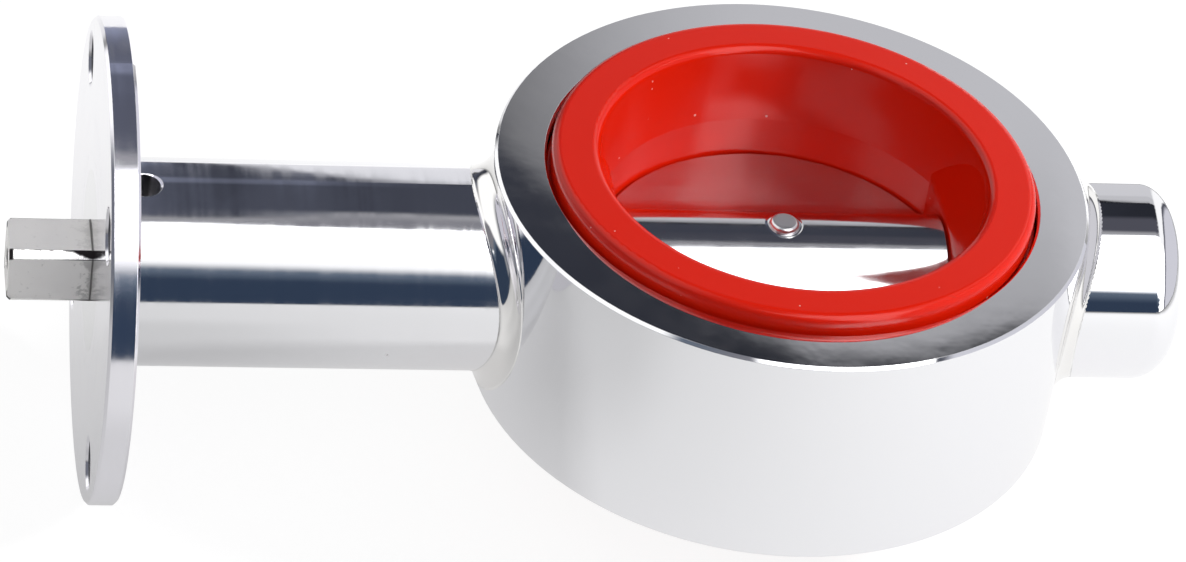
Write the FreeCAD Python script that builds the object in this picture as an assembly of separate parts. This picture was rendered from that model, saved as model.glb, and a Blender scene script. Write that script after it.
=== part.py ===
import FreeCAD, Part
import math
import os

from FreeCAD import Vector

# A sanitary wafer butterfly valve for 65 mm pipe, drawn closed, in millimetres.
# X is the stem axis, with the actuator flange towards -X and the blind boss towards +X.
# Z is the pipe axis, and the origin is where the two axes cross.

# Body ring
ring_wall = 9.0
ring_height = 42.0
ring_outer_chamfer = 0.5
ring_bore_chamfer = 0.4
groove_depth = 2.5
groove_width = 10.0

# Seat
seat_bore = 65.0
seat_wall = 10.5
seat_land = 18.5
lip_height = 3.0
lip_flare = 1.6
lip_step = 0.7
lip_outer_round = 1.5
lip_inner_round = 1.5
seat_throat_round = 3.0
shoulder_drop = 2.6
shoulder_round = 0.4
seat_clearance = 0.1
rib_round = 0.6
stem_flat_inset = 3.5
stem_flat_height = 22.0
stem_flat_round = 4.0
stem_flat_root = 0.2
stem_flat_overlap = 1.5
collar_length = 2.6
collar_clearance = 0.1

# Neck and actuator flange
neck_diameter = 36.0
neck_standout = 68.4
neck_weld_round = 4.0
neck_face_wall = 3.0
leak_hole_diameter = 5.5
leak_hole_mouth_diameter = 6.3
leak_hole_from_flange = 3.2
leak_hole_angle = 5.0
flange_thickness = 4.9
flange_chamfer = 0.5
flange_hole_diameter = 9.0
flange_hole_chamfer = 0.5
flange_hole_count = 4
flange_pitch_diameter = 70.0
flange_edge_wall = 2.5
spigot_step = 1.0
flange_weld_leg = 1.5

# Blind boss
boss_diameter = 35.4
boss_standout = 19.0
boss_edge_round = 6.0
boss_dome_radius = 150.0
boss_end_wall = 8.5
boss_weld_round = 3.5

# Stem
stem_diameter = 14.0
square_width = 11.0
square_standout = 14.1
stem_end_chamfer = 0.5
centre_hole_diameter = 2.0
centre_hole_depth = 4.0
centre_cone_diameter = 4.25
centre_cone_depth = 2.0

# Bushes, seals and pad
bush_wall = 3.0
bush_length = 15.0
bush_chamfer = 0.4
running_clearance = 0.06
end_clearance = 0.3
wiper_thickness = 2.5
wiper_lip_width = 0.8
wiper_lip_height = 1.5
pad_thickness = 1.5
o_ring_section = 1.8
o_ring_side_room = 0.3
o_ring_fit = 0.03

# Disc and pin
disc_thickness = 4.0
disc_edge_round = 0.5
disc_seat_clearance = 0.3
hub_diameter = 21.6
hub_end_clearance = 0.5
hub_end_round = 1.6
hub_blend_round = 11.0
hub_fit_clearance = 0.02
pin_head_diameter = 5.2
pin_taper = 1 / 50
pin_standout = 0.75
pin_head_round = 0.7
pin_tail_sink = 0.4
pin_clearance = 0.02

# Places and fits that follow from the sizes above
bore_radius = seat_bore / 2 + seat_wall
ring_radius = bore_radius + ring_wall
ring_half_height = ring_height / 2
stem_radius = stem_diameter / 2
stem_bore_diameter = stem_diameter + 2 * running_clearance
bush_outer_diameter = stem_diameter + 2 * bush_wall
spigot_diameter = neck_diameter - 2 * spigot_step
flange_diameter = flange_pitch_diameter + flange_hole_diameter + 2 * flange_edge_wall
flange_face = -(ring_radius + neck_standout)
flange_back = flange_face + flange_thickness
stem_outer_end = flange_face - square_standout
wiper_start = flange_face + neck_face_wall
upper_bush_start = wiper_start + wiper_thickness
stem_flat_distance = seat_bore / 2 - stem_flat_inset
hub_half_length = stem_flat_distance - hub_end_clearance
disc_radius = seat_bore / 2 - disc_seat_clearance
collar_end = bore_radius + collar_length
bush_start = collar_end + end_clearance
boss_end = ring_radius + boss_standout
boss_bore_end = boss_end - boss_end_wall
pad_face = boss_bore_end - pad_thickness
stem_inner_end = pad_face - end_clearance
boss_bush_length = stem_inner_end - bush_start
o_ring_groove_width = o_ring_section + 2 * o_ring_side_room
o_ring_outer_radius = stem_bore_diameter / 2 - o_ring_fit
o_ring_groove_radius = o_ring_outer_radius - o_ring_section - o_ring_fit
o_ring_places = {
    "stem_o_ring_upper": upper_bush_start + bush_length / 2,
    "stem_o_ring_lower": -(bush_start + bush_length / 2),
    "stem_o_ring_boss": bush_start + boss_bush_length / 2,
}

# How near two measures have to be to count as the same
SAME_POINT = 1e-7
SAME_SIZE = 1e-6
ON_SURFACE = 1e-4

ALONG_X = Vector(1, 0, 0)
ALONG_Z = Vector(0, 0, 1)
ORIGIN = Vector(0, 0, 0)


def rod_x(diameter, start, end):
    """A solid rod along X between two places."""
    return Part.makeCylinder(diameter / 2, end - start, Vector(start, 0, 0), ALONG_X)


def rod_z(diameter, height):
    """A solid rod along Z, centred on the origin."""
    return Part.makeCylinder(diameter / 2, height, Vector(0, 0, -height / 2), ALONG_Z)


def circles_at(shape, radius, axis, places):
    """The full-circle edges of one radius whose centres lie at the given places along an axis."""
    found = []
    for edge in shape.Edges:
        if not isinstance(edge.Curve, Part.Circle) or abs(edge.Curve.Radius - radius) > SAME_SIZE:
            continue
        if any(abs(edge.Curve.Center.dot(axis) - place) < SAME_SIZE for place in places):
            found.append(edge)
    return found


def rounded_wire(corners):
    """A closed wire through corners in one plane, each given as a point and its rounding radius."""
    stretches = []
    count = len(corners)
    for index, (point, radius) in enumerate(corners):
        if radius == 0:
            stretches.append((point, None, point))
            continue
        before = (corners[index - 1][0] - point).normalize()
        after = (corners[(index + 1) % count][0] - point).normalize()
        half_angle = before.getAngle(after) / 2
        bisector = (before + after).normalize()
        middle = point + bisector * (radius / math.sin(half_angle) - radius)
        reach = radius / math.tan(half_angle)
        stretches.append((point + before * reach, middle, point + after * reach))
    edges = []
    for index, (start, middle, end) in enumerate(stretches):
        if middle is not None:
            edges.append(Part.Arc(start, middle, end).toShape())
        following = stretches[(index + 1) % count][0]
        if end.distanceToPoint(following) > SAME_POINT:
            edges.append(Part.makeLine(end, following))
    return Part.Wire(edges)


def turned(corners, axis):
    """The solid that a profile makes when it is turned once round an axis through the origin."""
    return Part.Face(rounded_wire(corners)).revolve(ORIGIN, axis, 360)


def profile_z(points):
    """Corners of a profile in the XZ plane, from (radius, height, rounding) triples."""
    return [(Vector(radius, 0, height), rounding) for radius, height, rounding in points]


def mirrored_profile_z(points):
    """A profile with the same points above and below the plane z = 0."""
    below = [(radius, -height, rounding) for radius, height, rounding in reversed(points)]
    return profile_z(points + below)


def ring_blank():
    """The plain ring before it is bored, as the tube and the boss are fitted to it."""
    return rod_z(2 * ring_radius, ring_height)


def body_ring():
    """The ring, with its bore, its seat groove and the cross bores of the stem."""
    blank = ring_blank()
    blank = blank.makeChamfer(
        ring_outer_chamfer,
        circles_at(blank, ring_radius, ALONG_Z, (-ring_half_height, ring_half_height)),
    )
    ring = blank.cut(rod_z(2 * bore_radius, ring_height))
    ring = ring.makeChamfer(
        ring_bore_chamfer,
        circles_at(ring, bore_radius, ALONG_Z, (-ring_half_height, ring_half_height)),
    )
    groove = rod_z(2 * (bore_radius + groove_depth), groove_width)
    cross_bore = rod_x(bush_outer_diameter, -ring_radius, ring_radius)
    return ring.cut(groove).cut(cross_bore)


def neck_blank():
    """The outside of the neck tube, run into the ring."""
    return rod_x(neck_diameter, flange_back, -bore_radius)


def leak_hole():
    """The hole drilled into the neck behind the flange, where a leak past the stem's seals would show."""
    drill_radius = leak_hole_diameter / 2
    mouth_radius = leak_hole_mouth_diameter / 2
    mouth_start = neck_diameter / 2 - (mouth_radius - drill_radius)
    drilled = Part.makeCylinder(drill_radius, mouth_start, ORIGIN, ALONG_Z)
    mouth = Part.makeCone(
        drill_radius, 2 * mouth_radius, 2 * mouth_radius - drill_radius, Vector(0, 0, mouth_start), ALONG_Z
    )
    hole = drilled.fuse(mouth)
    hole.rotate(ORIGIN, ALONG_X, leak_hole_angle)
    hole.translate(Vector(flange_back + leak_hole_from_flange, 0, 0))
    return hole


def neck_tube():
    """The tube, coped to the ring and bored from there for the bushes, as far as its closed-in face."""
    spigot = rod_x(spigot_diameter, flange_face, flange_back)
    spigot = spigot.makeChamfer(
        flange_weld_leg,
        circles_at(spigot, spigot_diameter / 2, ALONG_X, (flange_face,)),
    )
    tube = neck_blank().cut(ring_blank()).fuse(spigot)
    stem_bore = rod_x(stem_bore_diameter, flange_face, wiper_start)
    bush_bore = rod_x(bush_outer_diameter, wiper_start, -bore_radius)
    return tube.cut([stem_bore, bush_bore, leak_hole()]).removeSplitter()


def actuator_flange():
    """The round plate, with its bolt holes and the bevelled hole for the spigot."""
    plate = rod_x(flange_diameter, flange_face, flange_back)
    plate = plate.makeChamfer(
        flange_chamfer,
        circles_at(plate, flange_diameter / 2, ALONG_X, (flange_face, flange_back)),
    )
    plate = plate.cut(rod_x(spigot_diameter, flange_face, flange_back))
    plate = plate.makeChamfer(
        flange_weld_leg,
        circles_at(plate, spigot_diameter / 2, ALONG_X, (flange_face,)),
    )
    step = 360 / flange_hole_count
    holes = []
    for index in range(flange_hole_count):
        hole = rod_x(flange_hole_diameter, flange_face, flange_back)
        hole.translate(Vector(0, 0, flange_pitch_diameter / 2))
        hole.rotate(ORIGIN, ALONG_X, step / 2 + index * step)
        holes.append(hole)
    plate = plate.cut(holes)
    return plate.makeChamfer(
        flange_hole_chamfer,
        circles_at(plate, flange_hole_diameter / 2, ALONG_X, (flange_face, flange_back)),
    )


def flange_weld():
    """The groove weld that fills both bevels and is ground flush with the face."""
    radius = spigot_diameter / 2
    corners = [
        (Vector(flange_face, 0, radius - flange_weld_leg), 0),
        (Vector(flange_face, 0, radius + flange_weld_leg), 0),
        (Vector(flange_face + flange_weld_leg, 0, radius), 0),
    ]
    return turned(corners, ALONG_X)


def fillet_weld(blank, diameter, leg_radius):
    """The hollow weld round a blank that stands on the ring, trimmed where the ring's bevels start."""
    tall_ring = rod_z(2 * ring_radius, 2 * ring_height)
    joined = tall_ring.fuse(blank.cut(tall_ring)).removeSplitter()
    seam = []
    for edge in joined.Edges:
        middle = edge.valueAt((edge.FirstParameter + edge.LastParameter) / 2)
        on_ring = abs(math.hypot(middle.x, middle.y) - ring_radius) < ON_SURFACE
        on_blank = abs(math.hypot(middle.y, middle.z) - diameter / 2) < ON_SURFACE
        if on_ring and on_blank:
            seam.append(edge)
    weld = joined.makeFillet(leg_radius, seam).cut(tall_ring).cut(blank)
    wider_than_both = 4 * ring_radius
    return weld.common(rod_z(wider_than_both, ring_height - 2 * ring_outer_chamfer))


def boss_blank():
    """The outside of the blind boss, run into the ring, with its domed and rounded end."""
    rod = rod_x(boss_diameter, bore_radius, boss_end)
    dome = Part.makeSphere(boss_dome_radius, Vector(boss_end - boss_dome_radius, 0, 0))
    rod = rod.common(dome)
    rim_sag = boss_dome_radius - math.sqrt(boss_dome_radius**2 - (boss_diameter / 2) ** 2)
    rim = circles_at(rod, boss_diameter / 2, ALONG_X, (boss_end - rim_sag,))
    return rod.makeFillet(boss_edge_round, rim)


def blind_boss():
    """The boss, coped to the ring, with its blind bore."""
    return boss_blank().cut(ring_blank()).cut(rod_x(bush_outer_diameter, bore_radius, boss_bore_end))


def stem_flat():
    """The flat that the hub's end runs on, raised from the bore and sloping back to it at both lips."""
    half = stem_flat_height / 2
    slope_end = ring_half_height + lip_height - lip_inner_round
    slope_distance = seat_bore / 2 + lip_flare + stem_flat_root
    back = bore_radius - seat_wall / 2
    corners = [
        (Vector(stem_flat_distance, 0, -half), stem_flat_round),
        (Vector(stem_flat_distance, 0, half), stem_flat_round),
        (Vector(slope_distance, 0, slope_end), 0),
        (Vector(back, 0, slope_end), 0),
        (Vector(back, 0, -slope_end), 0),
        (Vector(slope_distance, 0, -slope_end), 0),
    ]
    where_bore_takes_over = math.sqrt((seat_bore / 2) ** 2 - stem_flat_distance**2)
    half_width = where_bore_takes_over + stem_flat_overlap
    block = Part.Face(rounded_wire(corners)).extrude(Vector(0, 2 * half_width, 0))
    block.translate(Vector(0, -half_width, 0))
    return block


def seat():
    """The silicone liner, with lips, rib, stem flats and stem collars."""
    outer_radius = bore_radius - seat_clearance
    lip_radius = bore_radius - lip_step
    lip_top = ring_half_height + lip_height
    shoulder = ring_half_height - shoulder_drop
    rib_radius = bore_radius + groove_depth - seat_clearance
    rib_half = groove_width / 2 - seat_clearance
    liner = turned(
        mirrored_profile_z(
            [
                (rib_radius, rib_half, rib_round),
                (outer_radius, rib_half, 0),
                (outer_radius, shoulder, shoulder_round),
                (lip_radius, shoulder, 0),
                (lip_radius, lip_top, lip_outer_round),
                (seat_bore / 2 + lip_flare, lip_top, lip_inner_round),
                (seat_bore / 2, seat_land / 2, seat_throat_round),
            ]
        ),
        ALONG_Z,
    )
    collar_diameter = bush_outer_diameter - 2 * collar_clearance
    collar = rod_x(collar_diameter, stem_flat_distance, collar_end)
    flat = stem_flat()
    added = [collar, flat, collar.mirror(ORIGIN, ALONG_X), flat.mirror(ORIGIN, ALONG_X)]
    liner = liner.fuse(added).removeSplitter()
    return liner.cut(rod_x(stem_bore_diameter, -collar_end, collar_end))


def bush(start, length):
    """A plain bearing sleeve for the stem, with its outer edges bevelled."""
    sleeve = rod_x(bush_outer_diameter, start, start + length)
    sleeve = sleeve.makeChamfer(
        bush_chamfer,
        circles_at(sleeve, bush_outer_diameter / 2, ALONG_X, (start, start + length)),
    )
    return sleeve.cut(rod_x(stem_bore_diameter, start, start + length))


def stem_wiper():
    """The dust ring round the stem behind the closed-in face, with its lip towards the outside."""
    outer_radius = bush_outer_diameter / 2
    lip_radius = stem_bore_diameter / 2
    waist_radius = lip_radius + wiper_lip_height
    corners = [
        (Vector(wiper_start, 0, lip_radius), 0),
        (Vector(wiper_start, 0, outer_radius), 0),
        (Vector(upper_bush_start, 0, outer_radius), 0),
        (Vector(upper_bush_start, 0, waist_radius), 0),
        (Vector(wiper_start + wiper_lip_width, 0, lip_radius), 0),
    ]
    return turned(corners, ALONG_X)


def thrust_pad():
    """The round pad at the bottom of the blind bore."""
    pad = rod_x(bush_outer_diameter, pad_face, boss_bore_end)
    rim = circles_at(pad, bush_outer_diameter / 2, ALONG_X, (pad_face,))
    return pad.makeChamfer(bush_chamfer, rim)


def o_ring(place):
    """A stem O-ring at a place along the stem."""
    centre_radius = o_ring_outer_radius - o_ring_section / 2
    return Part.makeTorus(centre_radius, o_ring_section / 2, Vector(place, 0, 0), ALONG_X)


def pin_radius(height):
    """The taper pin's radius at a height above the stem axis."""
    return pin_head_diameter / 2 - pin_taper / 2 * (hub_diameter / 2 - height)


def disc_pin():
    """The taper pin through hub and stem, with its rounded head a little proud of the hub."""
    head = hub_diameter / 2 + pin_standout
    tail = -hub_diameter / 2 + pin_tail_sink
    corners = [
        (0, tail, 0),
        (pin_radius(tail), tail, 0),
        (pin_radius(head), head, pin_head_round),
        (0, head, 0),
    ]
    return turned(profile_z(corners), ALONG_Z)


def pin_hole():
    """The tapered hole that the pin is driven into, right through the hub."""
    reach = hub_diameter / 2 + pin_standout
    bottom_radius = pin_radius(-reach) + pin_clearance
    top_radius = pin_radius(reach) + pin_clearance
    return Part.makeCone(bottom_radius, top_radius, 2 * reach, Vector(0, 0, -reach), ALONG_Z)


def around_stem(radius, start, end):
    """What is cut away to leave a stretch of the stem with a smaller radius."""
    return rod_x(2 * stem_diameter, start, end).cut(rod_x(2 * radius, start, end))


def stem():
    """The shaft, with its square drive end, centre hole, seal grooves and pin hole."""
    shaft = rod_x(stem_diameter, stem_outer_end, stem_inner_end)
    shaft = shaft.makeChamfer(
        stem_end_chamfer,
        circles_at(shaft, stem_radius, ALONG_X, (stem_outer_end, stem_inner_end)),
    )
    square = Part.makeBox(
        square_standout,
        square_width,
        square_width,
        Vector(stem_outer_end, -square_width / 2, -square_width / 2),
    )
    shaft = shaft.cut(rod_x(2 * stem_diameter, stem_outer_end, flange_face).cut(square))
    reach = o_ring_groove_width / 2
    grooves = [
        around_stem(o_ring_groove_radius, place - reach, place + reach)
        for place in o_ring_places.values()
    ]
    pilot = rod_x(centre_hole_diameter, stem_outer_end, stem_outer_end + centre_hole_depth)
    countersink = Part.makeCone(
        centre_cone_diameter / 2,
        centre_hole_diameter / 2,
        centre_cone_depth,
        Vector(stem_outer_end, 0, 0),
        ALONG_X,
    )
    return shaft.cut(grooves + [pilot, countersink, pin_hole()])


def disc_section():
    """The section across the stem: the blade's two faces run in hollows into the round hub."""
    hub_radius = hub_diameter / 2
    half = disc_thickness / 2
    centre_y = math.sqrt((hub_radius + hub_blend_round) ** 2 - (half + hub_blend_round) ** 2)
    edges = []
    rims = []
    for side in (1, -1):
        ends = []
        for hand in (1, -1):
            centre = Vector(0, hand * centre_y, side * (half + hub_blend_round))
            foot = Vector(0, centre.y, side * half)
            touch = centre * (hub_radius / (hub_radius + hub_blend_round))
            inward = ((foot - centre) + (touch - centre)).normalize()
            edges.append(Part.Arc(foot, centre + inward * hub_blend_round, touch).toShape())
            rim = Vector(0, hand * disc_radius, side * half)
            edges.append(Part.makeLine(foot, rim))
            ends.append(touch)
            rims.append(rim)
        edges.append(Part.Arc(ends[0], Vector(0, 0, side * hub_radius), ends[1]).toShape())
    edges.append(Part.makeLine(rims[0], rims[2]))
    edges.append(Part.makeLine(rims[1], rims[3]))
    return Part.Face(Part.Wire(Part.sortEdges(edges)[0]))


def disc():
    """The blade with its cross hub, blended together, bored for the stem and the pin."""
    half = disc_thickness / 2
    beyond_hub = hub_diameter
    section = disc_section()
    section.translate(Vector(-hub_half_length, 0, 0))
    bar = section.extrude(Vector(2 * hub_half_length, 0, 0))
    rim = turned(
        mirrored_profile_z(
            [
                (disc_radius, half, disc_edge_round),
                (disc_radius - disc_edge_round, half, 0),
                (disc_radius - disc_edge_round, beyond_hub, 0),
                (0, beyond_hub, 0),
            ]
        ),
        ALONG_Z,
    )
    hub = rod_x(hub_diameter, -hub_half_length, hub_half_length)
    hub = hub.makeFillet(
        hub_end_round,
        circles_at(hub, hub_diameter / 2, ALONG_X, (-hub_half_length, hub_half_length)),
    )
    whole = bar.common(rim).fuse(hub).removeSplitter()
    stem_bore = rod_x(stem_diameter + 2 * hub_fit_clearance, -disc_radius, disc_radius)
    return whole.cut([stem_bore, pin_hole()])


def main():
    """Write every piece of the valve to its own file."""
    os.makedirs("parts", exist_ok=True)
    pieces = {
        "body_ring": body_ring(),
        "neck_tube": neck_tube(),
        "actuator_flange": actuator_flange(),
        "flange_weld": flange_weld(),
        "neck_weld": fillet_weld(neck_blank(), neck_diameter, neck_weld_round),
        "blind_boss": blind_boss(),
        "boss_weld": fillet_weld(boss_blank(), boss_diameter, boss_weld_round),
        "seat": seat(),
        "neck_bush_upper": bush(upper_bush_start, bush_length),
        "neck_bush_lower": bush(-bush_start - bush_length, bush_length),
        "boss_bush": bush(bush_start, boss_bush_length),
        "thrust_pad": thrust_pad(),
        "stem_wiper": stem_wiper(),
        "disc": disc(),
        "stem": stem(),
        "disc_pin": disc_pin(),
    }
    for name, place in o_ring_places.items():
        pieces[name] = o_ring(place)
    for name, shape in pieces.items():
        shape.exportStep(f"parts/{name}.step")


main()
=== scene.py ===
"""The looks of a sanitary butterfly valve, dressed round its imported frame.

The pieces keep their shapes from the frame and get their finishes here. The two weld beads are
modelled here as the rolled hollows that they are, because polished steel shows every facet. All
sizes are in metres, and the axes are those of the frame: X along the stem, Z along the pipe.
"""

import logging
import math
from collections.abc import Callable
from dataclasses import dataclass, field
from enum import Enum
from functools import reduce

import bpy
import numpy as np
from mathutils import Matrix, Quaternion, Vector


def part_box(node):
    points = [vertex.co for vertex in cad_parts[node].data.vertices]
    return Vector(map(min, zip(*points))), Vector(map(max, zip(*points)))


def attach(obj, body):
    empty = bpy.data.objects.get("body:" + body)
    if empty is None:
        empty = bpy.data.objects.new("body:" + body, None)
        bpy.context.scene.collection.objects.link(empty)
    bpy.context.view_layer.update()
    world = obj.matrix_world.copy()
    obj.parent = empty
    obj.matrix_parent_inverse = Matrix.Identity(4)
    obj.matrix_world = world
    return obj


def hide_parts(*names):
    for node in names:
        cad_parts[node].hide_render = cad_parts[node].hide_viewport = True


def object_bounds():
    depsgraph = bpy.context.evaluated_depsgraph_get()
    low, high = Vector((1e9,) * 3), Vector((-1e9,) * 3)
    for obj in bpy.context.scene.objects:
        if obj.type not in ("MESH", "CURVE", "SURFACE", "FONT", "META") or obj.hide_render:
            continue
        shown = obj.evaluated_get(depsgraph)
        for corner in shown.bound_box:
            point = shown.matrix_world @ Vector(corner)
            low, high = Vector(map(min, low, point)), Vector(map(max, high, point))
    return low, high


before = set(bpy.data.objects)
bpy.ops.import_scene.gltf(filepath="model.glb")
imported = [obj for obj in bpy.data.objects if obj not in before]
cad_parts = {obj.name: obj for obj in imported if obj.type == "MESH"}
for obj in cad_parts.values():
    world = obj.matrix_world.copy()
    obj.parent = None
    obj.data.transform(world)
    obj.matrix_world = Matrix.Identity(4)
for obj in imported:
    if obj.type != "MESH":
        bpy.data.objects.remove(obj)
cad_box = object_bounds()

log = logging.getLogger("valve")

MM = 0.001
Colour = tuple[float, float, float]
Span = tuple[float, float]
Stops = tuple[tuple[float, float], ...]
Socket = bpy.types.NodeSocket
Sockets = dict[str, Socket]

WHITE = (1.0, 1.0, 1.0, 1.0)
# the colour of the painted highlight on steel edges
EDGE_HIGHLIGHT = (0.95, 0.95, 0.95, 1.0)
HALF_TURN = 180.0


class Side(Enum):
    """The two ends of the stem, as signs along X."""

    NECK = -1
    BOSS = 1


class Marks(Enum):
    """How a surface was last worked, as the axis that its marks run round."""

    AROUND_STEM = (1.0, 0.0, 0.0)
    AROUND_PIPE = (0.0, 0.0, 1.0)


def linear(value: float) -> float:
    """A display value between 0 and 1 as a linear one."""
    return value / 12.92 if value <= 0.04045 else ((value + 0.055) / 1.055) ** 2.4


def grey(value: float, blue: float = 1.0) -> tuple[float, float, float, float]:
    """A grey of a display value, with its blue part scaled."""
    level = linear(value)
    return (level, level, level * blue, 1.0)


def linked(name: str, data: bpy.types.ID) -> bpy.types.Object:
    """Put a new object into the scene.

    Args:
        name: the object's name.
        data: its mesh, camera or lamp.

    Returns:
        The object.
    """
    made = bpy.data.objects.new(name, data)
    bpy.context.scene.collection.objects.link(made)
    return made


class NodeSketch:
    """A short way to write shader nodes into one node tree."""

    def __init__(self, tree: bpy.types.NodeTree) -> None:
        """Keep the tree that the nodes go into."""
        self.tree = tree

    def feed(self, fed: bpy.types.Node, inputs: dict) -> None:
        """Give a node's inputs their values or sockets.

        Args:
            fed: the node.
            inputs: values or sockets by input name or number.
        """
        for key, value in inputs.items():
            if isinstance(value, Socket):
                self.tree.links.new(value, fed.inputs[key])
            else:
                fed.inputs[key].default_value = value

    def node(self, kind: str, inputs: dict | None = None, **settings: object) -> bpy.types.Node:
        """Add one node.

        Args:
            kind: the node's type name.
            inputs: values or sockets by input name or number.
            settings: the node's own properties.

        Returns:
            The new node.
        """
        made = self.tree.nodes.new(kind)
        for name, value in settings.items():
            setattr(made, name, value)
        self.feed(made, inputs or {})
        return made

    def math(self, operation: str, *values: object) -> Socket:
        """One number worked out from others by a Math node."""
        return self.node("ShaderNodeMath", dict(enumerate(values)), operation=operation).outputs[0]

    def product(self, *values: object) -> Socket:
        """Several numbers times each other."""
        return reduce(lambda first, second: self.math("MULTIPLY", first, second), values)

    def greatest(self, *values: object) -> Socket:
        """The greatest of several numbers."""
        return reduce(lambda first, second: self.math("MAXIMUM", first, second), values)

    def size(self, value: Socket) -> Socket:
        """A number without its sign."""
        return self.math("ABSOLUTE", value)

    def vector(self, operation: str, *values: object) -> bpy.types.Node:
        """A Vector Math node, whose first output is a vector and whose second is a number."""
        return self.node("ShaderNodeVectorMath", dict(enumerate(values)), operation=operation)

    def scaled(self, vector: object, factor: object) -> Socket:
        """A vector or colour times a number."""
        return self.node("ShaderNodeVectorMath", {0: vector, "Scale": factor}, operation="SCALE").outputs[0]

    def length(self, vector: Socket) -> Socket:
        """How long a vector is."""
        return self.vector("LENGTH", vector).outputs[1]

    def step(
        self, value: object, low: object, high: object, out_low: object = 0.0, out_high: object = 1.0
    ) -> Socket:
        """A smooth step from one output value to another as the value goes from low to high."""
        inputs = {"Value": value, "From Min": low, "From Max": high, "To Min": out_low, "To Max": out_high}
        return self.node("ShaderNodeMapRange", inputs, interpolation_type="SMOOTHSTEP").outputs[0]

    def fade(self, value: object, low: object, high: object) -> Socket:
        """A smooth step from 1 down to 0 as the value goes from low to high."""
        return self.step(value, low, high, 1.0, 0.0)

    def mix(self, factor: object, first: object, second: object) -> Socket:
        """A colour between two others."""
        inputs = {"Factor": factor, 6: first, 7: second}
        return self.node("ShaderNodeMix", inputs, data_type="RGBA").outputs[2]

    def blend(self, factor: object, first: object, second: object) -> Socket:
        """A number between two others."""
        inputs = {"Factor": factor, 2: first, 3: second}
        return self.node("ShaderNodeMix", inputs, data_type="FLOAT").outputs[0]

    def noise(self, place: Socket, scale: float, detail: float = 2.0, roughness: float = 0.5) -> Socket:
        """Noise between 0 and 1, read at a place in metres."""
        inputs = {"Vector": place, "Scale": scale, "Detail": detail, "Roughness": roughness}
        return self.node("ShaderNodeTexNoise", inputs).outputs[0]

    def bump(self, height: Socket, depth: float, normal: Socket | None = None) -> Socket:
        """Bend a normal by a height.

        Args:
            height: the height, from 0 to 1.
            depth: what its whole range stands for, in metres.
            normal: the normal that is bent, or none for the surface's own.

        Returns:
            The bent normal.
        """
        inputs = {"Height": height, "Distance": depth}
        if normal is not None:
            inputs["Normal"] = normal
        return self.node("ShaderNodeBump", inputs).outputs[0]

    def parts(self, vector: Socket) -> list[Socket]:
        """A vector's three numbers."""
        return list(self.node("ShaderNodeSeparateXYZ", {0: vector}).outputs)

    def joined(self, *values: object) -> Socket:
        """A vector from three numbers."""
        return self.node("ShaderNodeCombineXYZ", dict(enumerate(values))).outputs[0]

    def lookup(self, value: Socket, stops: Stops, colours: list[tuple[float, ...]]) -> Socket:
        """A colour along a value.

        Args:
            value: the number that is looked up.
            stops: pairs that start with the value at each stop, in rising order.
            colours: the colour at each stop.

        Returns:
            The colour, straight from stop to stop and level outside them.
        """
        start = stops[0][0]
        span = stops[-1][0] - start
        share = self.math("DIVIDE", self.math("SUBTRACT", value, start), span)
        made = self.node("ShaderNodeValToRGB", {0: share})
        elements = made.color_ramp.elements
        for index, ((at, _), colour) in enumerate(zip(stops, colours, strict=True)):
            place = (at - start) / span
            element = elements[index] if index < 2 else elements.new(place)
            element.position = place
            element.color = colour
        return made.outputs[0]

    def ramp(self, value: Socket, stops: Stops, blue: float = 1.0) -> Socket:
        """Greys along a value, from pairs of a value and the grey's display value there."""
        return self.lookup(value, stops, [grey(level, blue) for _, level in stops])

    def curve(self, value: Socket, stops: Stops) -> Socket:
        """A number along a value.

        Args:
            value: the number that is looked up.
            stops: pairs of a value and the number there, in rising order of the value.

        Returns:
            The number, straight from stop to stop and level outside them.
        """
        least = min(level for _, level in stops)
        spread = max(level for _, level in stops) - least
        shares = [(level - least) / spread for _, level in stops]
        found = self.lookup(value, stops, [(share, share, share, 1.0) for share in shares])
        return self.math("MULTIPLY_ADD", self.parts(found)[0], spread, least)

    def group(self, tree: bpy.types.NodeTree, **inputs: object) -> bpy.types.Node:
        """One use of a shared node group, with its inputs by name and underscores for spaces."""
        named = {name.replace("_", " "): value for name, value in inputs.items()}
        return self.node("ShaderNodeGroup", named, node_tree=tree)

    def shader(self, factor: object, first: Socket, second: Socket) -> Socket:
        """A shader between two others."""
        return self.node("ShaderNodeMixShader", {0: factor, 1: first, 2: second}).outputs[0]

    def by_ray(self, matt_ray: Socket, glossy_ray: Socket, straight_ray: Socket) -> Socket:
        """Look another way to each kind of ray.

        Args:
            matt_ray: the shader for light on matt surfaces.
            glossy_ray: the shader for mirror images.
            straight_ray: the shader for the eye, also through glass.

        Returns:
            The three as one shader.
        """
        path = self.node("ShaderNodeLightPath").outputs
        straight = self.greatest(path["Is Camera Ray"], path["Is Transmission Ray"])
        unseen = self.shader(path["Is Glossy Ray"], matt_ray, glossy_ray)
        return self.shader(straight, unseen, straight_ray)


@dataclass(frozen=True)
class SharedGroup:
    """A node group that several materials use, made the first time that it is asked for."""

    name: str
    inputs: tuple[tuple[str, str], ...]
    outputs: tuple[tuple[str, str], ...]
    fill: Callable[[NodeSketch, Sockets], Sockets]

    def tree(self) -> bpy.types.NodeTree:
        """Make the group's node tree, or find it.

        Returns:
            The tree.
        """
        known = bpy.data.node_groups.get(self.name)
        if known is not None:
            return known
        made = bpy.data.node_groups.new(self.name, "ShaderNodeTree")
        for label, kind in self.inputs:
            made.interface.new_socket(label, in_out="INPUT", socket_type=kind)
        for label, kind in self.outputs:
            made.interface.new_socket(label, in_out="OUTPUT", socket_type=kind)
        sketch = NodeSketch(made)
        entry = sketch.node("NodeGroupInput")
        results = self.fill(sketch, {label: entry.outputs[label] for label, _ in self.inputs})
        sketch.node("NodeGroupOutput", dict(results))
        return made


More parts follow.
